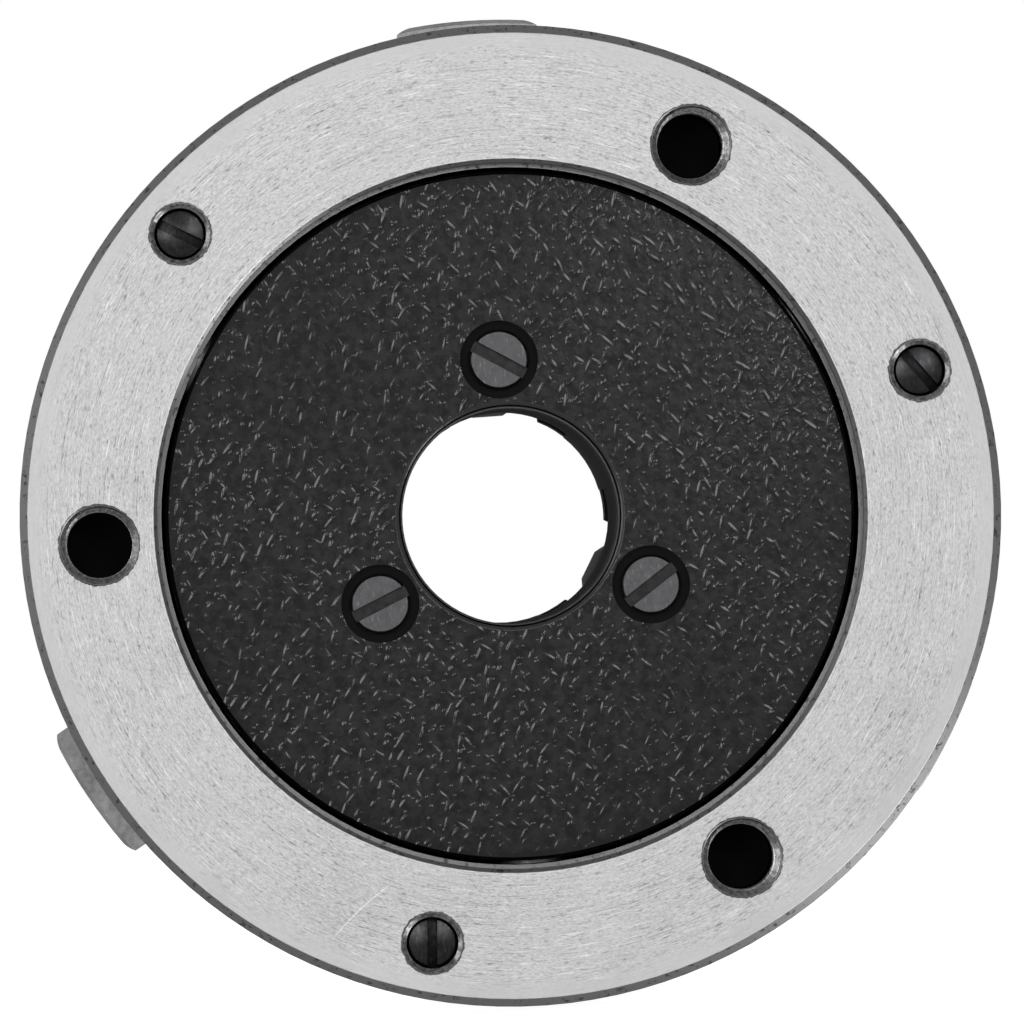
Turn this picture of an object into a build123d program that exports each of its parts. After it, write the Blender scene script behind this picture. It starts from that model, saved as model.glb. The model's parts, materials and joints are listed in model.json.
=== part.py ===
from build123d import *
import math
import os

# Three-jaw self-centring scroll chuck, in millimetres.
# The spindle axis is Y. The back (mounting) face lies in the plane y = 0 and faces -Y;
# depths are measured from it towards the jaws, along +Y. Jaw 1 points up, along +Z.
# An angle about the axis is counted from +X towards +Z.

# Body
body_radius = 50.0
body_length = 55.0
back_rim_chamfer = 0.85
front_rim_chamfer = 1.0
edge_break = 0.4
bore_radius = 11.0
register_radius = 36.0
register_depth = 3.5
cavity_radius = 35.6
hub_radius = 20.0

# Tapped mounting holes in the back ring
mount_hole_radius = 4.0
mount_circle_radius = 42.0
mount_hole_depth = 16.0
mount_countersink = 0.15
mount_angles = (60.0, 180.0, 300.0)
drill_point_angle = 59.0

# Jaws and their slots in the body
jaw_angles = (90.0, 210.0, 330.0)
jaw_width = 14.7
jaw_tip_radius = 11.15
jaw_tip_flat = 3.2
jaw_tip_bevel = 60.0
jaw_end_radius = 52.4
jaw_corner_length = 0.7
jaw_corner_width = 2.0
jaw_corner_fall = 0.17
jaw_step_radii = (24.0, 37.0)
jaw_step_depths = (61.5, 68.0)
jaw_top_depth = 74.5
jaw_base_depth = 40.75
slot_width = 14.84
slot_floor_depth = 37.0
rib_gap = 9.4
rib_back = 45.5
rib_front = 52.5
slide_clearance = 0.1

# Scroll: flat spiral thread in front, bevel teeth behind
scroll_bore_radius = 20.06
scroll_radius = 35.3
thread_pitch = 6.0
thread_start_radius = 17.0
thread_top_depth = 40.5
thread_height = 3.3
groove_width = 3.2
spiral_span = (45, 1260)
spiral_arc = 45
jaw_tooth_thickness = 2.75
jaw_tooth_height = 3.25
jaw_tooth_count = 5
least_tooth_radius = 16.0
tooth_outer_curve = 19.0
tooth_inner_curve = 37.0
scroll_land_depth = 24.0
scroll_land_radius = 24.6

# Bevel gearing: the pinion axes and the scroll axis meet at the common apex
pinion_angles = (30.0, 150.0, 270.0)
pinion_depth = 17.0
scroll_teeth = 51
pinion_teeth = 11
pressure_angle = 25.0
tooth_share = 0.47
scroll_addendum = 0.75
scroll_dedendum = 1.15
pinion_addendum = 0.95
pinion_dedendum = 0.95
tooth_space_overrun = 0.3
scroll_gear_span = (25.0, 34.4)
pinion_gear_span = (25.3, 34.0)
gear_back_depth = 26.4
pinion_bore_start = 25.0

# Pinion shank, key socket and retaining groove
pinion_bore_radius = 9.0
pinion_bore_chamfer = 0.6
shank_radius = 8.95
shank_span = (35.7, 49.3)
neck_radius = 6.0
key_square = 8.1
key_depth = 12.0
key_countersink = 0.6
retaining_groove_radius = 7.6
retaining_groove_width = 6.4

# Slotted screws beside the pinions
retainer_radius = 2.6
retainer_hole_radius = 2.65
retainer_countersink = 0.4
retainer_offset = 11.07
retainer_station = 42.8
retainer_head_depth = 1.5
retainer_end_depth = 21.5
retainer_hole_depth = 23.0
retainer_slot = (1.0, 1.2)
retainer_point = 0.6
retainer_slot_angles = (-53.0, -30.0, 86.0)

# Cover and its screws
cover_radius = 35.2
cover_thickness = 4.0
cover_round = 0.35
cover_collar_radii = (20.3, 23.4)
collar_clearance = 0.1
cover_screw_circle = 16.0
counterbore_radius = 4.0
counterbore_depth = 2.3
cover_hole_radius = 2.15
cover_screw_head_radius = 3.05
cover_screw_head_height = 1.9
cover_screw_radius = 2.0
cover_tap_radius = 2.03
cover_screw_reach = 8.0
cover_tap_depth = 9.0
cover_screw_slot = (1.2, 0.95)
cover_screw_slot_angles = (-32.0, 23.0, 34.0)
screw_edge = 0.25

module_per_radius = 2.0 / scroll_teeth
hub_back_depth = register_depth + cover_thickness
far = 2 * body_radius
overrun = 1.0


def at_angle(shape, angle):
    """Turn a shape modelled along +X to its angle about the spindle axis."""
    return Rot(0, -angle, 0) * shape


def turned(points):
    """Revolve a profile of (radius, depth) points about the spindle axis."""
    return revolve(make_face(Polyline(*points, close=True)), Axis.Y)


def rod(radius, start, end):
    """A round bar along the spindle direction, on the Y axis, between two depths."""
    bar = Cylinder(radius, end - start, align=(Align.CENTER, Align.CENTER, Align.MIN))
    return Pos(0, start, 0) * Rot(-90, 0, 0) * bar


def taper(start_radius, end_radius, start, end):
    """A cone along the spindle direction, on the Y axis, between two depths."""
    cone = Cone(start_radius, end_radius, end - start, align=(Align.CENTER, Align.CENTER, Align.MIN))
    return Pos(0, start, 0) * Rot(-90, 0, 0) * cone


def radial_rod(radius, start, end):
    """A round bar along +X at the depth of the pinions, between two radii."""
    bar = Cylinder(radius, end - start, align=(Align.CENTER, Align.CENTER, Align.MIN))
    return Pos(start, pinion_depth, 0) * Rot(0, 90, 0) * bar


def radial_taper(start_radius, end_radius, start, end):
    """A cone along +X at the depth of the pinions, between two radii."""
    cone = Cone(start_radius, end_radius, end - start, align=(Align.CENTER, Align.CENTER, Align.MIN))
    return Pos(start, pinion_depth, 0) * Rot(0, 90, 0) * cone


def block(x0, x1, y0, y1, z0, z1):
    """A rectangular block between two corners."""
    return Pos(x0, y0, z0) * Box(x1 - x0, y1 - y0, z1 - z0, align=(Align.MIN, Align.MIN, Align.MIN))


def blind_hole(radius, depth, countersink):
    """A drilled hole from the back face, with its drill point and countersunk mouth."""
    point = radius / math.tan(math.radians(drill_point_angle))
    mouth = taper(radius + 2 * countersink, radius, -countersink, countersink)
    return rod(radius, -overrun, depth) + taper(radius, 0, depth, depth + point) + mouth


def screw_slot(width, depth, face, length, angle):
    """The driver slot of a screw whose face lies at a depth, turned to its angle."""
    half = width / 2
    return Rot(0, -angle, 0) * block(-length, length, face - overrun, face + depth, -half, half)


def jaw_slot():
    """The radial slot of one jaw, with a guide rib standing in from each wall."""
    half, neck = slot_width / 2, rib_gap / 2
    right = [
        (half, slot_floor_depth),
        (half, rib_back),
        (neck, rib_back),
        (neck, rib_front),
        (half, rib_front),
        (half, body_length + overrun),
    ]
    left = [(-z, y) for z, y in reversed(right)]
    outline = [(0, y, z) for z, y in right + left]
    return extrude(make_face(Polyline(*outline, close=True)), amount=far, dir=(1, 0, 0))


def apex_solid(start, end):
    """A solid between two like outlines, the second a copy of the first scaled from the apex."""
    faces = [make_face(Polyline(*outline, close=True)).face() for outline in (start, end)]
    for index, corner in enumerate(start):
        side = (corner, start[index - 1], end[index - 1], end[index])
        faces.append(make_face(Polyline(*side, close=True)).face())
    return Solid(Shell(faces))


def retainer_place():
    """Where a pinion's retaining screw stands beside the pinion that lies along +X."""
    return Pos(retainer_station, 0, -retainer_offset)


def make_body():
    """The body: rim, register, scroll cavity, hub, front wall and all its holes."""
    shell = turned([
        (register_radius + edge_break, 0),
        (body_radius - back_rim_chamfer, 0),
        (body_radius, back_rim_chamfer),
        (body_radius, body_length - front_rim_chamfer),
        (body_radius - front_rim_chamfer, body_length),
        (bore_radius + edge_break, body_length),
        (bore_radius, body_length - edge_break),
        (bore_radius, hub_back_depth),
        (hub_radius, hub_back_depth),
        (hub_radius, thread_top_depth + slide_clearance),
        (cavity_radius, thread_top_depth + slide_clearance),
        (cavity_radius, register_depth),
        (register_radius, register_depth),
        (register_radius, edge_break),
    ])
    cuts = [at_angle(jaw_slot(), angle) for angle in jaw_angles]
    mouth = pinion_bore_radius + pinion_bore_chamfer
    pinion_bore = radial_rod(pinion_bore_radius, pinion_bore_start, far)
    pinion_bore += radial_taper(
        pinion_bore_radius, mouth + overrun, body_radius - pinion_bore_chamfer, body_radius + overrun
    )
    retainer_hole = blind_hole(retainer_hole_radius, retainer_hole_depth, retainer_countersink)
    cuts += [at_angle(pinion_bore, angle) for angle in pinion_angles]
    cuts += [at_angle(retainer_place() * retainer_hole, angle) for angle in pinion_angles]
    mount_hole = blind_hole(mount_hole_radius, mount_hole_depth, mount_countersink)
    cuts += [at_angle(Pos(mount_circle_radius, 0, 0) * mount_hole, angle) for angle in mount_angles]
    tap = rod(cover_tap_radius, hub_back_depth - overrun, hub_back_depth + cover_tap_depth)
    cuts += [at_angle(Pos(cover_screw_circle, 0, 0) * tap, angle) for angle in jaw_angles]
    return shell - cuts


def spiral_point(offset, angle, depth):
    """A point of the spiral, which gains one pitch each turn, moved out by an offset."""
    radius = thread_start_radius + thread_pitch * angle / 360 + offset
    turn = math.radians(angle)
    return (radius * math.cos(turn), depth, radius * math.sin(turn))


def spiral_wall(offset, depth):
    """One wall of the thread groove, as short arcs through points of the spiral."""
    first, last = spiral_span
    arcs = []
    for start in range(first, last, spiral_arc):
        angles = (start, start + spiral_arc / 2, start + spiral_arc)
        arcs.append(ThreePointArc(*[spiral_point(offset, angle, depth) for angle in angles]))
    return arcs


def spiral_groove():
    """The groove between the turns of the flat thread, from the bore out to the rim."""
    depth = thread_top_depth - thread_height
    inner = spiral_wall(-groove_width / 2, depth)
    outer = spiral_wall(groove_width / 2, depth)
    ends = [Line(inner[0] @ 0, outer[0] @ 0), Line(inner[-1] @ 1, outer[-1] @ 1)]
    return extrude(make_face(inner + outer + ends), amount=thread_height + overrun, dir=(0, 1, 0))


def gear_depth(height, radius):
    """Depth of the scroll's tooth surface, height modules behind the pitch cone, at a radius."""
    return pinion_depth + radius * (pinion_teeth / scroll_teeth - height * module_per_radius)


def gear_space_section(radius):
    """Section of one tooth space of the scroll at a radius; it shrinks towards the apex."""
    module = radius * module_per_radius
    slope = math.tan(math.radians(pressure_angle))
    pitch_half = math.pi * module * (1 - tooth_share) / 2
    root_half = pitch_half - scroll_dedendum * module * slope
    reach = scroll_addendum + tooth_space_overrun
    mouth_half = pitch_half + reach * module * slope
    root, mouth = gear_depth(-scroll_dedendum, radius), gear_depth(reach, radius)
    corners = [(root, root_half), (mouth, mouth_half), (mouth, -mouth_half), (root, -root_half)]
    return [(radius, y, z) for y, z in corners]


def make_scroll():
    """The scroll ring with its spiral thread and its ring of bevel teeth."""
    inner, outer = scroll_gear_span
    ring = turned([
        (scroll_bore_radius, scroll_land_depth),
        (scroll_land_radius, scroll_land_depth),
        (inner, gear_depth(scroll_addendum, inner)),
        (outer, gear_depth(scroll_addendum, outer)),
        (outer, gear_back_depth),
        (scroll_radius, gear_back_depth),
        (scroll_radius, thread_top_depth),
        (scroll_bore_radius, thread_top_depth),
    ])
    space = apex_solid(gear_space_section(inner - overrun), gear_space_section(outer + overrun))
    first = pinion_angles[0]
    spaces = [at_angle(space, first + 360 * tooth / scroll_teeth) for tooth in range(scroll_teeth)]
    return ring - spaces - spiral_groove()


def involute(angle):
    return math.tan(angle) - angle


def pinion_section(station):
    """Outline of the pinion's teeth at a distance from the apex, one tooth pointing to +Y."""
    module = station * module_per_radius
    pitch_radius = pinion_teeth * module / 2
    base_radius = pitch_radius * math.cos(math.radians(pressure_angle))
    root_radius = pitch_radius - pinion_dedendum * module
    tip_radius = pitch_radius + pinion_addendum * module
    base_half = math.pi * tooth_share / pinion_teeth + involute(math.radians(pressure_angle))
    flank = [(root_radius, base_half)]
    flank_steps = 4
    for step in range(flank_steps + 1):
        radius = base_radius + (tip_radius - base_radius) * step / flank_steps
        flank.append((radius, base_half - involute(math.acos(base_radius / radius))))
    points = []
    for tooth in range(pinion_teeth):
        middle = 2 * math.pi * tooth / pinion_teeth
        sides = [(r, middle - half) for r, half in flank]
        sides += [(r, middle + half) for r, half in reversed(flank)]
        points += [(station, pinion_depth + r * math.cos(a), r * math.sin(a)) for r, a in sides]
    return points


def make_pinion():
    """A bevel pinion on +X: teeth, neck, shank with retaining groove, and key socket."""
    start, end = shank_span
    groove_start = retainer_station - retaining_groove_width / 2
    groove_end = retainer_station + retaining_groove_width / 2
    teeth = apex_solid(*[pinion_section(station) for station in pinion_gear_span])
    neck = radial_rod(neck_radius, pinion_gear_span[1] - overrun, start + overrun)
    shank = radial_rod(shank_radius, start, end - edge_break)
    shank += radial_taper(shank_radius, shank_radius - edge_break, end - edge_break, end)
    groove = radial_rod(far, groove_start, groove_end)
    groove -= radial_rod(retaining_groove_radius, groove_start, groove_end)
    half = key_square / 2
    socket = Pos(0, pinion_depth, 0) * block(
        end - key_depth, end + overrun, -half, half, -half, half
    )
    corner = half * math.sqrt(2)
    socket += radial_taper(corner - key_countersink, corner, end - key_countersink, end)
    return teeth + neck + shank - groove - socket


def make_retainer(slot_angle):
    """The slotted screw that sits in a pinion's groove, beside the pinion on +X."""
    face, end = retainer_head_depth, retainer_end_depth
    pin = rod(retainer_radius, face + screw_edge, end - retainer_point)
    pin += taper(retainer_radius - screw_edge, retainer_radius, face, face + screw_edge)
    pin += taper(retainer_radius, retainer_radius - retainer_point, end - retainer_point, end)
    width, depth = retainer_slot
    return retainer_place() * (pin - screw_slot(width, depth, face, far, slot_angle))


def make_cover():
    """The dust cover: a plate in the register with a thrust collar around the hub."""
    back, front = register_depth, register_depth + cover_thickness
    collar_in, collar_out = cover_collar_radii
    collar_end = scroll_land_depth - collar_clearance
    plate = turned([
        (bore_radius + cover_round, back),
        (cover_radius - cover_round, back),
        (cover_radius, back + cover_round),
        (cover_radius, front),
        (collar_out, front),
        (collar_out, collar_end),
        (collar_in, collar_end),
        (collar_in, front),
        (bore_radius, front),
        (bore_radius, back + cover_round),
    ])
    seat = rod(counterbore_radius, back - overrun, back + counterbore_depth)
    seat += rod(cover_hole_radius, back, front + overrun)
    return plate - [at_angle(Pos(cover_screw_circle, 0, 0) * seat, angle) for angle in jaw_angles]


def make_cover_screw(slot_angle):
    """A slotted cheese-head screw standing on +X, from its seat in the cover into the hub."""
    seat = register_depth + counterbore_depth
    face = seat - cover_screw_head_height
    end = hub_back_depth + cover_screw_reach
    radius = cover_screw_head_radius
    head = rod(radius, face + screw_edge, seat)
    head += taper(radius - screw_edge, radius, face, face + screw_edge)
    shank = rod(cover_screw_radius, seat - overrun, end - screw_edge)
    shank += taper(cover_screw_radius, cover_screw_radius - screw_edge, end - screw_edge, end)
    width, depth = cover_screw_slot
    screw = head + shank - screw_slot(width, depth, face, far, slot_angle)
    return Pos(cover_screw_circle, 0, 0) * screw


def jaw_plan():
    """The jaw's outline across its slot, drawn out through its whole height."""
    half, flat = jaw_width / 2, jaw_tip_flat / 2
    shoulder = jaw_tip_radius + (half - flat) / math.tan(math.radians(jaw_tip_bevel))
    inside, between = half - jaw_corner_width, half - jaw_corner_width / 2
    corner = math.sqrt(jaw_end_radius**2 - inside**2)
    beyond = jaw_end_radius + overrun
    start, fall = corner - jaw_corner_length, corner - jaw_corner_fall
    base = jaw_base_depth - overrun
    tip = [(shoulder, -half), (jaw_tip_radius, -flat), (jaw_tip_radius, flat), (shoulder, half)]
    end = [(corner, inside), (beyond, inside), (beyond, -inside), (corner, -inside)]
    edges = [
        Polyline(*[(x, base, z) for x, z in [(start, -half)] + tip + [(start, half)]]),
        ThreePointArc((start, base, half), (fall, base, between), (corner, base, inside)),
        Polyline(*[(x, base, z) for x, z in end]),
        ThreePointArc((corner, base, -inside), (fall, base, -between), (start, base, -half)),
    ]
    return extrude(make_face(edges), amount=far, dir=(0, 1, 0))


def jaw_turning():
    """The stepped faces of the jaws, ground about the spindle axis."""
    inner, outer = jaw_step_radii
    low, middle = jaw_step_depths
    c = edge_break
    return turned([
        (0, jaw_base_depth),
        (jaw_end_radius - c, jaw_base_depth),
        (jaw_end_radius, jaw_base_depth + c),
        (jaw_end_radius, low - c),
        (jaw_end_radius - c, low),
        (outer, low),
        (outer, middle - c),
        (outer - c, middle),
        (inner, middle),
        (inner, jaw_top_depth - c),
        (inner - c, jaw_top_depth),
        (0, jaw_top_depth),
    ])


def jaw_tooth(radius):
    """A crescent tooth that fits the groove at every radius the jaw can reach."""
    half = jaw_width / 2 + overrun
    thick = jaw_tooth_thickness / 2
    outer_drop = half**2 / (2 * tooth_outer_curve)
    inner_drop = half**2 / (2 * tooth_inner_curve)
    tip = jaw_base_depth - jaw_tooth_height
    outer_end, inner_end = thick - outer_drop, -thick - inner_drop
    outer = ThreePointArc((outer_end, tip, -half), (thick, tip, 0), (outer_end, tip, half))
    inner = ThreePointArc((inner_end, tip, -half), (-thick, tip, 0), (inner_end, tip, half))
    ends = [Line(outer @ 0, inner @ 0), Line(outer @ 1, inner @ 1)]
    tooth = extrude(make_face([outer, inner] + ends), amount=jaw_tooth_height + overrun, dir=(0, 1, 0))
    mean_radius = (scroll_bore_radius + scroll_radius) / 2
    lead_angle = math.degrees(math.atan(thread_pitch / (2 * math.pi * mean_radius)))
    return Pos(radius, 0, 0) * Rot(0, lead_angle, 0) * tooth


def make_jaw(angle):
    """The jaw of one slot, on +X; its teeth follow the spiral at that slot's angle."""
    half = jaw_width / 2
    blank = jaw_plan() & jaw_turning()
    neck = rib_gap / 2 - slide_clearance
    back, front = rib_back - slide_clearance, rib_front + slide_clearance
    grooves = [block(0, far, back, front, neck, far), block(0, far, back, front, -far, -neck)]
    spiral_radius = thread_start_radius + thread_pitch * angle / 360
    first = least_tooth_radius + (spiral_radius - least_tooth_radius) % thread_pitch
    width = block(0, far, 0, body_length, -half, half)
    teeth = [jaw_tooth(first + thread_pitch * tooth) & width for tooth in range(jaw_tooth_count)]
    return blank - grooves + teeth


def write(name, shape):
    """Write one piece as parts/NAME.step."""
    shape.label = name
    export_step(shape, f"parts/{name}.step")


def main():
    os.makedirs("parts", exist_ok=True)
    write("body", make_body())
    write("scroll", make_scroll())
    write("cover", make_cover())
    pinion = make_pinion()
    for index in range(3):
        number = index + 1
        jaw_angle, pinion_angle = jaw_angles[index], pinion_angles[index]
        write(f"pinion_{number}", at_angle(pinion, pinion_angle))
        retainer = make_retainer(retainer_slot_angles[index] - pinion_angle)
        write(f"pinion_retaining_screw_{number}", at_angle(retainer, pinion_angle))
        screw = make_cover_screw(cover_screw_slot_angles[index] - jaw_angle)
        write(f"cover_screw_{number}", at_angle(screw, jaw_angle))
        write(f"jaw_{number}", at_angle(make_jaw(jaw_angle), jaw_angle))


main()
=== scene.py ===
import json
import math

import bpy
from mathutils import Matrix, Vector


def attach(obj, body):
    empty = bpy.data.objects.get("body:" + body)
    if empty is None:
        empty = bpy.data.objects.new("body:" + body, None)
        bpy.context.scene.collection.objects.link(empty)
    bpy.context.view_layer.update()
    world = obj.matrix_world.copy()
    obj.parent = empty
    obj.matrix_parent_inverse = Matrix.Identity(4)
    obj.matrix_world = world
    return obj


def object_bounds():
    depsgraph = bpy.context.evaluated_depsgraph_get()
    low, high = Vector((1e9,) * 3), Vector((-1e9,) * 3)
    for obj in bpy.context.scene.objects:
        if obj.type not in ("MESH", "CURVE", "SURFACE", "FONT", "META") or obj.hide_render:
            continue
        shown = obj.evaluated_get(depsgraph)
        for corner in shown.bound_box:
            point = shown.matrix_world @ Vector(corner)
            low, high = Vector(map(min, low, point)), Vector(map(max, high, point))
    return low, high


# The visual model of a three-jaw lathe chuck. The spindle axis is Y, the ground back face lies
# at y = 0 and faces -Y, and jaw 1 points up. The object's sizes are in millimetres; the floor,
# the lamps and the camera are placed in metres.

MM = 0.001
RIM_RADIUS, BODY_LENGTH, BORE_RADIUS = 50.0, 55.0, 11.0
REGISTER_RADIUS, REGISTER_DEPTH = 36.0, 3.5
JAW_ANGLES = (90, 210, 330)
MOUNT_CIRCLE, MOUNT_ANGLES, MOUNT_RADIUS = 42.0, (60, 180, 300), 4.0
RETAINER_CIRCLE, RETAINER_ANGLES, RETAINER_RADIUS = 44.21, (15.5, 135.5, 255.5), 2.65
RETAINER_MOUTH_RADIUS, RETAINER_FACE_DEPTH = 3.07, 1.5
COVER_SCREW_CIRCLE, COUNTERBORE_RADIUS = 16.0, 4.0

# Grey levels: the dark bevels and their specks, the painted shade of holes and bore, the ground
# ring.
BEVEL_GREY, SPECK_GREY = 0.105, 0.035
HOLE_SHADE, BORE_SHADE = 0.012, 0.024
RING_GREY = (0.30, 0.375)

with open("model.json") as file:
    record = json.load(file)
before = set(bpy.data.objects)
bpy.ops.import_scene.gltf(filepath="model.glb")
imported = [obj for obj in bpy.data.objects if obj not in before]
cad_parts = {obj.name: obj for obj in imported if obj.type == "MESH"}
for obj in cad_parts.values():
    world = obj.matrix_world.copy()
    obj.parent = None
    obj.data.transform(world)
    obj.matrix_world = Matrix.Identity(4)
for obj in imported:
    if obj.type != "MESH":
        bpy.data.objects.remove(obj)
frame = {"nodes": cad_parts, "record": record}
cad_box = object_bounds()


def grey(value):
    return (value, value, value, 1.0)


def polar(radius, angle):
    """The x and z of a place around the spindle axis."""
    return radius * math.cos(math.radians(angle)), radius * math.sin(math.radians(angle))


# ---------------------------------------------------------------- shader graphs
class Graph:
    """Builds one procedural material on coordinates in millimetres of the object's frame."""

    NAMES = {"colour": "Base Color", "specular": "Specular IOR Level"}
    TURNED_RADIUS = 42.0

    def __init__(self, name):
        self.material = bpy.data.materials.new(name)
        self.material.use_nodes = True
        self.tree = self.material.node_tree
        self.shader = self.tree.nodes["Principled BSDF"]
        coords = self.add("ShaderNodeTexCoord")
        self.place = self.vector("SCALE", coords.outputs["Object"], scale=1 / MM)
        self.x, self.y, self.z = self.add("ShaderNodeSeparateXYZ", self.place).outputs
        self.flat = self.combine(self.x, 0.0, self.z)
        self.radius = self.length(self.flat)
        self.around = self.vector("NORMALIZE", self.flat)

    def add(self, kind, *inputs, **settings):
        node = self.tree.nodes.new(kind)
        for key, value in settings.items():
            setattr(node, key, value)
        for index, value in enumerate(inputs):
            self.feed(node.inputs[index], value)
        return node

    def feed(self, socket, value):
        if isinstance(value, bpy.types.NodeSocket):
            self.tree.links.new(value, socket)
        elif value is not None:
            socket.default_value = value

    def math(self, operation, a, b=None):
        return self.add("ShaderNodeMath", a, b, operation=operation).outputs[0]

    def chain(self, operation, first, *others):
        for other in others:
            first = self.math(operation, first, other)
        return first

    def plus(self, *terms):
        return self.chain("ADD", *terms)

    def minus(self, *terms):
        return self.chain("SUBTRACT", *terms)

    def times(self, *factors):
        return self.chain("MULTIPLY", *factors)

    def most(self, *values):
        return self.chain("MAXIMUM", *values)

    def vector(self, operation, a, b=None, scale=None):
        node = self.add("ShaderNodeVectorMath", a, b, operation=operation)
        if scale is not None:
            self.feed(node.inputs["Scale"], scale)
        return node.outputs["Vector"]

    def combine(self, x, y, z):
        return self.add("ShaderNodeCombineXYZ", x, y, z).outputs[0]

    def length(self, vector):
        return self.add("ShaderNodeVectorMath", vector, operation="LENGTH").outputs["Value"]

    def noise(self, vector, scale=1.0, detail=2.0, roughness=0.5):
        node = self.add("ShaderNodeTexNoise")
        inputs = {"Vector": vector, "Scale": scale, "Detail": detail, "Roughness": roughness}
        for key, value in inputs.items():
            self.feed(node.inputs[key], value)
        return node.outputs["Fac"]

    def turned(self, across, along, detail=2.0, roughness=0.5):
        """Noise drawn out round the axis: across per mm outward, along per mm round."""
        swept = self.vector("SCALE", self.around, scale=self.TURNED_RADIUS * along)
        x, _, z = self.add("ShaderNodeSeparateXYZ", swept).outputs
        outward = self.times(self.plus(self.radius, self.y), across)
        return self.noise(self.combine(x, outward, z), 1.0, detail, roughness)

    def ramp(self, value, low, high, start=0.0, end=1.0):
        """A smooth step of value from low..high to start..end, held outside."""
        node = self.add("ShaderNodeMapRange", interpolation_type="SMOOTHSTEP")
        for socket, number in zip(node.inputs[:5], (value, low, high, start, end)):
            self.feed(socket, number)
        return node.outputs[0]

    def below(self, value, low, high):
        """1 where value is under low, falling to 0 at high."""
        return self.ramp(value, low, high, 1.0, 0.0)

    def within(self, gap, reach, edge=0.05):
        """1 as far as reach from an axis, 0 beyond a narrow edge."""
        return self.below(gap, reach, reach + edge)

    def blend(self, factor, a, b):
        """Number a where factor is 0, b where it is 1."""
        node = self.add("ShaderNodeMix", data_type="FLOAT")
        for index, value in ((0, factor), (2, a), (3, b)):
            self.feed(node.inputs[index], value)
        return node.outputs[0]

    def tint(self, level, blue=0.0):
        """A grey of a level, a little bluer if asked."""
        bluer = self.times(level, 1 + blue)
        return self.add("ShaderNodeCombineColor", level, level, bluer).outputs[0]

    def gap(self, x, z):
        """Distance from the line parallel to the spindle at x, z."""
        return self.length(self.vector("SUBTRACT", self.flat, (x, 0.0, z)))

    def nearest(self, circle, angles):
        """Distance from the nearest of the axes standing on a circle."""
        return self.chain("MINIMUM", *[self.gap(*polar(circle, angle)) for angle in angles])

    def ridges(self, scale, length, width, height, lean, spread, falling=0.0):
        """Low ridges strewn over the x-z plane, leaning at about one angle from +X, in degrees;
        a share of them lies across the others. Lengths and heights are in millimetres."""
        across_turn, shortest, longest, lowest, highest = math.radians(112), 0.5, 1.3, 0.7, 1.3
        flat = self.combine(self.x, self.z, 0.0)
        node = self.add("ShaderNodeTexVoronoi", voronoi_dimensions="2D")
        self.feed(node.inputs["Vector"], flat)
        self.feed(node.inputs["Scale"], scale)
        chance = self.add("ShaderNodeSeparateColor", node.outputs["Color"]).outputs
        offset = self.vector("SUBTRACT", flat, node.outputs["Position"])
        u, v, _ = self.add("ShaderNodeSeparateXYZ", offset).outputs
        limits = math.radians(lean - spread), math.radians(lean + spread)
        crossed = self.math("LESS_THAN", chance[1], falling)
        turn = self.minus(self.ramp(chance[0], 0.0, 1.0, *limits), self.times(crossed, across_turn))
        cos, sin = self.math("COSINE", turn), self.math("SINE", turn)
        along = self.plus(self.times(u, cos), self.times(v, sin))
        aside = self.minus(self.times(v, cos), self.times(u, sin))
        reach = self.ramp(chance[2], 0.0, 1.0, shortest * length, longest * length)
        along = self.math("DIVIDE", along, reach)
        aside = self.math("DIVIDE", aside, width)
        fall = self.plus(self.times(along, along), self.times(aside, aside))
        top = self.most(self.minus(1.0, fall), 0.0)
        tall = self.ramp(chance[1], 0.0, 1.0, lowest * height, highest * height)
        return self.times(top, top, tall)

    def bump(self, height):
        """Adds a relief; the height is in millimetres."""
        node = self.add("ShaderNodeBump")
        self.feed(node.inputs["Strength"], 1.0)
        self.feed(node.inputs["Distance"], MM)
        self.feed(node.inputs["Height"], height)
        normal = self.shader.inputs["Normal"]
        if normal.is_linked:
            self.tree.links.new(normal.links[0].from_socket, node.inputs["Normal"])
        self.tree.links.new(node.outputs[0], normal)

    def finish(self, **values):
        for key, value in values.items():
            self.feed(self.shader.inputs[self.NAMES.get(key, key.capitalize())], value)
        return self.material


def scratch(g):
    """A thin bright scratch curving across the ground ring."""
    centre, bend, strength = (2.62, -64.5), 33.0, 0.11
    offset = g.math("ABSOLUTE", g.minus(g.gap(*centre), bend))
    return g.times(
        g.ramp(offset, 0.03, 0.10, strength, 0.0),
        g.ramp(g.radius, 39.0, 40.5),
        g.below(g.radius, 46.0, 46.8),
        g.below(g.x, -13, -12),
    )


def ring_level(g, patch):
    """The ground ring: turning marks on soft patches, calmer near its rim, a scratch, and a painted
    highlight along its inner edge.
    """
    rim_distance = g.plus(g.radius, g.times(g.noise(g.place, 0.3), 3.0))
    marked = g.ramp(rim_distance, RIM_RADIUS - 1.8, RIM_RADIUS, 1.0, 0.25)
    grain = g.ramp(g.turned(8.0, 2.5, 2.0, 0.7), 0.3, 0.7, -0.055, 0.055)
    dashes = g.ramp(g.turned(4.5, 1.1, 3.0, 0.6), 0.54, 0.72, 0.0, -0.13)
    streaks = g.ramp(g.turned(6.5, 0.16, 2.0), 0.58, 0.72, 0.0, -0.08)
    pits = g.ramp(g.noise(g.place, 3.2, 1.0), 0.67, 0.76, 0.0, -0.12)
    glints = g.ramp(g.turned(7.5, 0.35, 2.0), 0.58, 0.75, 0.0, 0.12)
    marks = g.plus(grain, dashes, streaks, pits, glints)
    level = g.plus(patch, g.times(marks, marked))
    # A painted highlight: a thin bright line along the ring's inner edge.
    edge_highlight = g.ramp(g.radius, REGISTER_RADIUS + 0.42, REGISTER_RADIUS + 0.52, 0.05, 0.0)
    return g.most(g.plus(level, edge_highlight, scratch(g)), 0.04)


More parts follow.
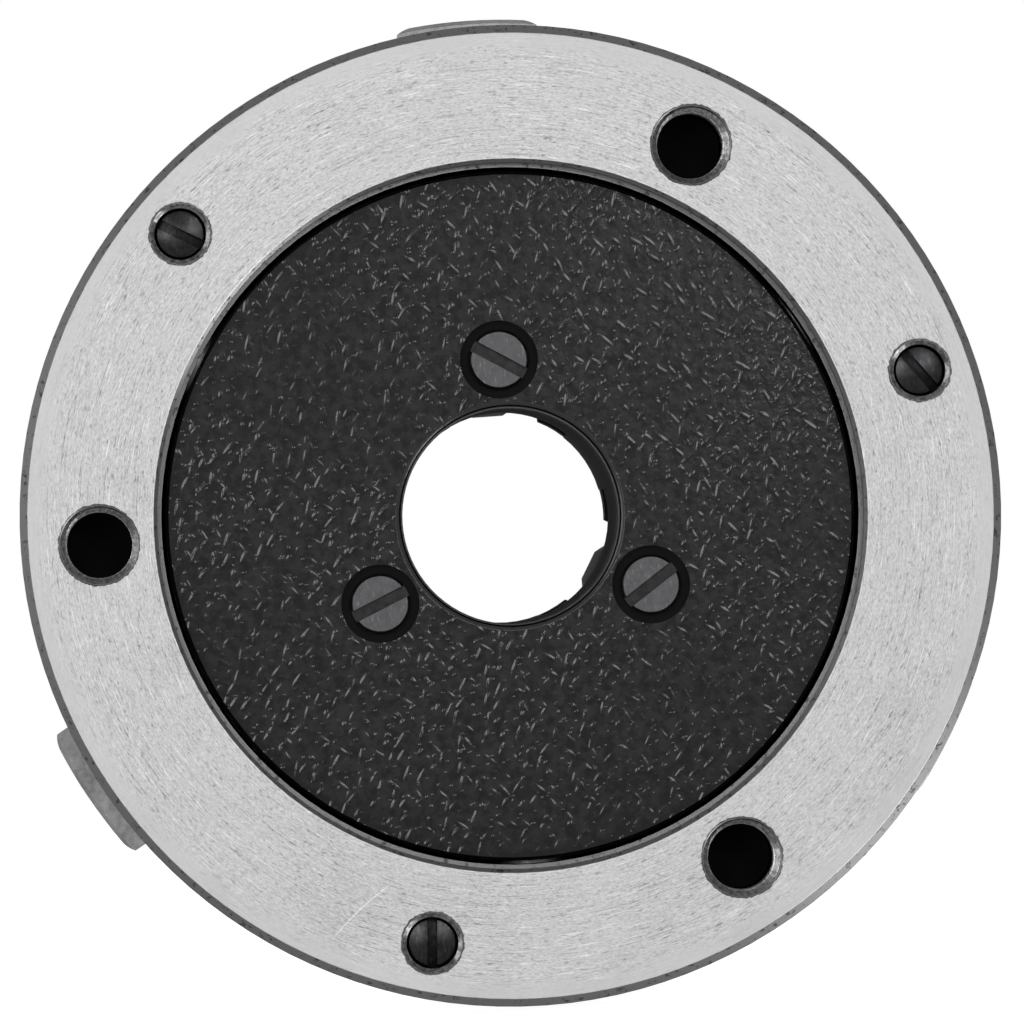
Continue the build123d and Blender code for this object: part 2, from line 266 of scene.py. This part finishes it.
def turned_level(g, mouth):
    """The body away from the ring: turned sides and front, dark speckled bevels and register."""
    specks = g.ramp(g.noise(g.place, 1.5, 3.0, 0.7), 0.56, 0.66)
    side = g.minus(g.ramp(g.turned(6.0, 0.1), 0.3, 0.7, 0.20, 0.26), g.times(specks, 0.05))
    front = g.ramp(g.turned(5.0, 0.1), 0.3, 0.7, 0.36, 0.46)
    level = g.blend(g.ramp(g.y, BODY_LENGTH - 0.05, BODY_LENGTH - 0.01), side, front)
    outside = g.ramp(g.radius, RIM_RADIUS - 0.9, RIM_RADIUS - 0.8)
    rim_bevel = g.times(g.below(g.y, 0.86, 0.95), outside)
    return g.blend(g.most(rim_bevel, mouth), level, g.blend(specks, BEVEL_GREY, SPECK_GREY))


def ground_iron():
    """The body: bright ground ring, dark bevels and walls, turned sides; the holes, the bore and
    the hollow behind the cover carry painted shade.
    """
    g = Graph("ground_iron")
    ring = g.below(g.y, 0.03, 0.06)
    mouth = g.times(
        g.below(g.radius, REGISTER_RADIUS + 0.45, REGISTER_RADIUS + 0.5),
        g.below(g.y, REGISTER_DEPTH + 0.1, REGISTER_DEPTH + 0.2),
    )
    patch = g.ramp(g.noise(g.place, 0.12, 3.0), 0.3, 0.7, *RING_GREY)
    level = g.blend(ring, turned_level(g, mouth), ring_level(g, patch))

    mount_gap = g.nearest(MOUNT_CIRCLE, MOUNT_ANGLES)
    screw_gap = g.nearest(RETAINER_CIRCLE, RETAINER_ANGLES)
    tapped = g.within(mount_gap, MOUNT_RADIUS + 0.1)
    guided = g.within(screw_gap, RETAINER_MOUTH_RADIUS)
    shallow = g.below(g.y, 0.5, 0.6)

    # Ragged dark lines round the mouths, then the darker countersinks of the retaining screws.
    ragged = g.times(g.noise(g.place, 1.6, 3.0, 0.6), 0.5)
    dark_rim_line = g.most(
        g.below(g.minus(mount_gap, ragged), 3.90, 3.98),
        g.below(g.minus(screw_gap, ragged), 2.95, 3.05),
    )
    level = g.blend(g.times(dark_rim_line, g.below(g.y, 0.02, 0.12)), level, 0.055)
    seat = g.times(guided, shallow)
    seat_grey = g.ramp(g.noise(g.place, 2.0, 3.0, 0.6), 0.35, 0.65, 0.04, 0.12)
    level = g.blend(seat, level, seat_grey)

    # Painted shade: the bore, the hollow behind the cover and the holes (darker further in) are
    # painted near black, rough and unmetallic.
    bore = g.times(
        g.below(g.radius, BORE_RADIUS + 0.5, BORE_RADIUS + 0.6),
        g.below(g.y, BODY_LENGTH - 0.1, BODY_LENGTH - 0.05),
    )
    cavity = g.times(
        g.below(g.radius, REGISTER_RADIUS - 0.3, REGISTER_RADIUS - 0.2),
        g.ramp(g.y, REGISTER_DEPTH + 0.2, REGISTER_DEPTH + 0.5),
        g.below(g.y, BODY_LENGTH - 5.0, BODY_LENGTH - 1.0),
    )
    holes = g.times(g.most(tapped, guided), g.ramp(g.y, 1.0, 9.0), g.below(g.y, 30.0, 31.0))
    dark = g.most(bore, cavity, holes)
    level = g.blend(dark, level, g.blend(bore, HOLE_SHADE, BORE_SHADE))

    rough = g.blend(ring, g.blend(mouth, 0.40, 0.28), g.ramp(patch, *RING_GREY, 0.42, 0.5))
    rough = g.blend(seat, rough, 0.24)
    g.bump(g.times(g.turned(8.0, 0.3), 0.004))
    flattened = g.most(g.minus(3.06, screw_gap), 0.0)
    g.bump(g.times(flattened, shallow, 0.2))
    return g.finish(
        colour=g.tint(level, 0.012),
        roughness=g.blend(dark, rough, 0.9),
        metallic=g.blend(dark, 1.0, 0.0),
        specular=0.03,
    )


def black_cast():
    """The cover: glossy black enamel strewn with low ridges and grains that glint."""
    g = Graph("black_cast")
    rim_radius, calm_spot = BORE_RADIUS + 0.75, (-20.0, 21.0)
    back = g.below(g.y, REGISTER_DEPTH + 0.1, REGISTER_DEPTH + 0.4)
    relief = g.plus(
        g.ridges(0.60, length=0.95, width=0.30, height=0.022, lean=62, spread=18, falling=0.35),
        g.ridges(0.80, length=0.30, width=0.22, height=0.013, lean=62, spread=50),
        g.times(g.noise(g.place, 1.2, 2.0), 0.02),
    )
    crowd = g.ramp(g.noise(g.place, 0.07, 2.0), 0.38, 0.62, 0.60, 1.12)
    calm = g.ramp(g.gap(*calm_spot), 5.0, 17.0, 0.72, 1.0)
    g.bump(g.times(relief, crowd, calm, back))

    # The edge of the bore is rounded off and a little shinier.
    rim = g.below(g.radius, rim_radius - 0.07, rim_radius)
    inset = g.most(g.minus(rim_radius, g.radius), 0.0)
    g.bump(g.times(inset, inset, back, -1.1))

    # Painted shade: the counterbores of the cover's screws and the wall of its bore are near black
    # and rough.
    seats = g.times(
        g.within(g.nearest(COVER_SCREW_CIRCLE, JAW_ANGLES), COUNTERBORE_RADIUS),
        g.ramp(g.y, REGISTER_DEPTH + 0.1, REGISTER_DEPTH + 0.2),
    )
    wall = g.times(
        g.below(g.radius, BORE_RADIUS + 0.3, BORE_RADIUS + 0.4),
        g.ramp(g.y, REGISTER_DEPTH + 0.3, REGISTER_DEPTH + 0.4),
    )
    shaded_hollows = g.most(seats, wall)
    level = g.ramp(g.noise(g.place, 0.9, 4.0, 0.65), 0.35, 0.65, 0.001, 0.010)
    # Painted shade: darker towards the outer edge, where the cover meets the body's wall.
    level = g.times(level, g.ramp(g.radius, REGISTER_RADIUS - 2.4, REGISTER_RADIUS - 1.0, 1.0, 0.2))
    level = g.blend(shaded_hollows, g.blend(rim, level, 0.032), HOLE_SHADE)
    return g.finish(
        colour=g.tint(level, 0.04),
        roughness=g.blend(shaded_hollows, g.blend(rim, 0.13, 0.3), 0.9),
        metallic=g.blend(shaded_hollows, rim, 0.0),
        specular=0.2,
    )


def black_screw():
    """The slotted screws: satin and rubbed grey on the cover; darker, smoother and slightly
    domed beside the pinions. Their slots are painted dark as shade."""
    g = Graph("black_screw")
    wear = g.noise(g.place, 1.2, 4.0, 0.65)
    stretched = g.combine(g.times(g.x, 5.0), g.y, g.times(g.z, 1.2))
    rub = g.ramp(g.noise(stretched, 1.0, 3.0), 0.55, 0.75)
    face = g.below(g.y, REGISTER_DEPTH + 0.45, REGISTER_DEPTH + 0.5)
    gap = g.nearest(RETAINER_CIRCLE, RETAINER_ANGLES)
    retainer = g.within(gap, RETAINER_RADIUS)
    level = g.plus(g.ramp(wear, 0.35, 0.65, 0.045, 0.07), g.times(rub, 0.05))
    # Painted shade: below the face of the cover's screws, their slots and sides are near black.
    level = g.blend(face, 0.02, level)
    # The retaining screws are darker in tone; their slots are painted darker still as shade.
    slot_start, slot_deep = RETAINER_FACE_DEPTH + 0.2, RETAINER_FACE_DEPTH + 0.5
    darker = g.ramp(g.y, slot_start, slot_deep, 0.27, 0.12)
    level = g.times(level, g.blend(retainer, 1.0, darker))
    g.bump(g.times(gap, gap, retainer, -0.03))
    return g.finish(
        colour=g.tint(level, 0.04),
        roughness=g.blend(retainer, g.ramp(wear, 0.3, 0.7, 0.35, 0.5), 0.22),
        metallic=1.0,
    )


def machined_steel():
    """The scroll and the pinions: oiled, turned steel."""
    g = Graph("machined_steel")
    fine = g.noise(g.place, 3.0, 3.0, 0.6)
    oil = g.ramp(g.noise(g.place, 0.5, 3.0), 0.5, 0.7, 0.0, 0.1)
    level = g.minus(g.ramp(fine, 0.3, 0.7, 0.34, 0.42), oil)
    g.bump(g.times(g.turned(6.0, 0.2), 0.004))
    return g.finish(
        colour=g.tint(level, 0.01),
        roughness=g.ramp(fine, 0.3, 0.7, 0.28, 0.42),
        metallic=1.0,
    )


def hardened_steel():
    """The jaws: ground steel, with painted shade at the tips and inside the body near the axis."""
    g = Graph("hardened_steel")
    stretched = g.combine(g.times(g.x, 1.5), g.times(g.y, 8.0), g.times(g.z, 1.5))
    fine = g.noise(stretched, 1.0, 3.0, 0.6)
    blotch = g.noise(g.place, 0.35, 4.0, 0.6)
    # Painted shade: near black, rough and unmetallic beside the bore and where the jaws lie inside
    # the body near the axis.
    inside = g.times(g.below(g.radius, 15.0, 18.0), g.below(g.y, 42.0, 50.0))
    shaded_tip = g.most(inside, g.below(g.radius, BORE_RADIUS + 0.5, BORE_RADIUS + 1.3))
    level = g.plus(g.ramp(blotch, 0.3, 0.7, 0.15, 0.21), g.ramp(fine, 0.3, 0.7, -0.03, 0.03))
    g.bump(g.times(fine, 0.004))
    return g.finish(
        colour=g.tint(g.blend(shaded_tip, level, 0.03), 0.01),
        roughness=g.blend(shaded_tip, 0.42, 0.85),
        metallic=g.blend(shaded_tip, 1.0, 0.0),
        specular=0.03,
    )


def cut_thread():
    """The turns of a tapped hole: grey iron near the mouth, painted brighter a few turns in and
    painted dark as shade further in.
    """
    g = Graph("cut_thread")
    iron = g.ramp(g.noise(g.place, 2.5, 3.0, 0.6), 0.3, 0.7, 0.09, 0.24)
    # Painted light and shade: brighter from 1 to 5 mm in, then fading to near black by 9.5 mm.
    level = g.times(iron, g.ramp(g.y, 1.0, 5.0, 1.0, 3.5), g.ramp(g.y, 5.0, 9.5, 1.0, 0.01))
    return g.finish(colour=g.tint(level), roughness=0.24, metallic=1.0)


MAKERS = (ground_iron, black_cast, black_screw, machined_steel, hardened_steel, cut_thread)
MATERIALS = {maker.__name__: maker() for maker in MAKERS}


def dress_nodes():
    """Gives each piece of the assembly its material."""
    slots = {part["node"]: part["material_slot"] for part in frame["record"]["subparts"]}
    for name, node in frame["nodes"].items():
        node.data.materials.clear()
        node.data.materials.append(MATERIALS[slots[name]])


# ---------------------------------------------------------------- tapped holes
THREAD_PITCH, THREAD_START, THREAD_TURNS = 1.25, 0.3, 11
THREAD_WALL, THREAD_CREST = MOUNT_RADIUS + 0.05, 3.36
HALF_ROOT, HALF_CREST = 0.47, 0.07  # half widths of the ridge, in pitches
RUN_OUT = 0.5  # turns over which the ridge rises at its ends
WORN_TURNS, WORN_HEIGHT = 2.0, 0.20


def thread_top(turn):
    """Radius of the thread's crest after some turns: worn near the mouth, run out at both ends."""
    grown = max(0.05, min(1.0, turn / RUN_OUT, (THREAD_TURNS - turn) / RUN_OUT))
    worn = WORN_HEIGHT * max(0.0, 1.0 - turn / WORN_TURNS)
    return THREAD_WALL - (THREAD_WALL - THREAD_CREST - worn) * grown


def make_thread(name, angle, steps=40):
    """The helical ridge of an internal thread in one mounting hole."""
    vertices, faces = [], []
    hole_x, hole_z = polar(MOUNT_CIRCLE, angle)
    for step in range(THREAD_TURNS * steps + 1):
        turn = step / steps
        top = thread_top(turn)
        middle = THREAD_START + THREAD_PITCH * (turn + 0.5)
        profile = (
            (THREAD_WALL, -HALF_ROOT),
            (top, -HALF_CREST),
            (top, HALF_CREST),
            (THREAD_WALL, HALF_ROOT),
        )
        for radius, offset in profile:
            x, z = polar(radius, 360 * turn)
            y = middle + THREAD_PITCH * offset
            vertices.append(((hole_x + x) * MM, y * MM, (hole_z + z) * MM))
        if step:
            base = 4 * step
            faces += [(base + i - 4, base + i - 3, base + i + 1, base + i) for i in range(3)]
    mesh = bpy.data.meshes.new(name)
    mesh.from_pydata(vertices, [], faces)
    mesh.validate()
    thread = bpy.data.objects.new(name, mesh)
    bpy.context.scene.collection.objects.link(thread)
    mesh.materials.append(MATERIALS["cut_thread"])
    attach(thread, "housing")


# ---------------------------------------------------------------- stage, light and camera
FLOOR_REACH, FLOOR_SEGMENTS, FLOOR_DROP = 1.6, 96, 0.0004
FLOOR_GREY, FLOOR_GLOW, WORLD_STRENGTH = 0.30, 0.9, 1.0
CAMERA_PLACE, CAMERA_TARGET = (-0.0294, -1.264, -0.0081), (0.0001, 0, 0.00037)
CAMERA_LENS, CAMERA_SENSOR, CAMERA_CLIP = 436.8, 36.0, (0.05, 20.0)
CAMERA_ROLL = math.radians(4.1)

# Name, place, width and height, brightness, and the direction of the height. The two glint
# lamps stand beside the camera and light the cover's ridges.
LAMPS = (
    ("low_right", (0.70, -0.18, -0.62), (0.5, 0.5), 7.5, (0, 1, 0)),
    ("left", (-0.9, -0.4, 0.2), (0.4, 0.8), 4.0, (0, 0, 1)),
    ("glint_left", (-0.283, -1.57, 0.15), (0.25, 0.25), 12.5, (0, 0, 1)),
    ("glint_right", (0.245, -1.57, 0.206), (0.25, 0.25), 12.5, (0, 0, 1)),
)


def aim(thing, target, up):
    """Turns a camera or light to look at a point."""
    back = (thing.location - Vector(target)).normalized()
    right = Vector(up).cross(back).normalized()
    thing.rotation_euler = Matrix((right, back.cross(right), back)).transposed().to_euler()


def make_floor():
    """A pale round floor that casts no shadow and isn't mirrored, so lamps can stand below it."""
    mesh = bpy.data.meshes.new("floor")
    rim = [polar(FLOOR_REACH, 360 * index / FLOOR_SEGMENTS) for index in range(FLOOR_SEGMENTS)]
    mesh.from_pydata([(x, y, 0) for x, y in rim], [], [list(range(FLOOR_SEGMENTS))])
    floor = bpy.data.objects.new("floor", mesh)
    floor.location.z = cad_box[0][2] - FLOOR_DROP
    floor.visible_shadow = False
    floor.visible_glossy = False
    bpy.context.scene.collection.objects.link(floor)
    material = bpy.data.materials.new("floor_white")
    material.use_nodes = True
    inputs = material.node_tree.nodes["Principled BSDF"].inputs
    inputs["Base Color"].default_value = grey(FLOOR_GREY)
    inputs["Roughness"].default_value = 1.0
    inputs["Specular IOR Level"].default_value = 0.0
    inputs["Emission Color"].default_value = grey(1.0)
    inputs["Emission Strength"].default_value = FLOOR_GLOW
    mesh.materials.append(material)


def make_world():
    world = bpy.data.worlds.new("studio")
    bpy.context.scene.world = world
    world.use_nodes = True
    background = world.node_tree.nodes["Background"]
    background.inputs["Color"].default_value = grey(1.0)
    background.inputs["Strength"].default_value = WORLD_STRENGTH


def softbox(name, place, size, radiance, up):
    """A rectangular lamp of a given brightness that faces the chuck."""
    light = bpy.data.lights.new(name, "AREA")
    light.shape = "RECTANGLE"
    light.size, light.size_y = size
    light.energy = radiance * math.pi * size[0] * size[1]
    lamp = bpy.data.objects.new(name, light)
    lamp.location = place
    aim(lamp, (0, 0, 0), up)
    lamp.visible_camera = False
    bpy.context.scene.collection.objects.link(lamp)


def make_camera():
    """The camera stands a little left of and below the axis, rolled against the jaws."""
    roll = Matrix.Rotation(CAMERA_ROLL, 3, "Y")
    data = bpy.data.cameras.new("camera")
    data.sensor_width, data.lens = CAMERA_SENSOR, CAMERA_LENS
    data.clip_start, data.clip_end = CAMERA_CLIP
    camera = bpy.data.objects.new("camera", data)
    bpy.context.scene.collection.objects.link(camera)
    camera.location = roll @ Vector(CAMERA_PLACE)
    aim(camera, roll @ Vector(CAMERA_TARGET), roll @ Vector((0, 0, 1)))
    bpy.context.scene.camera = camera


dress_nodes()
for number, angle in enumerate(MOUNT_ANGLES, 1):
    make_thread(f"mount_thread_{number}", angle)
make_floor()
make_world()
for lamp in LAMPS:
    softbox(*lamp)
make_camera()
bpy.context.scene.view_settings.view_transform = "Standard"
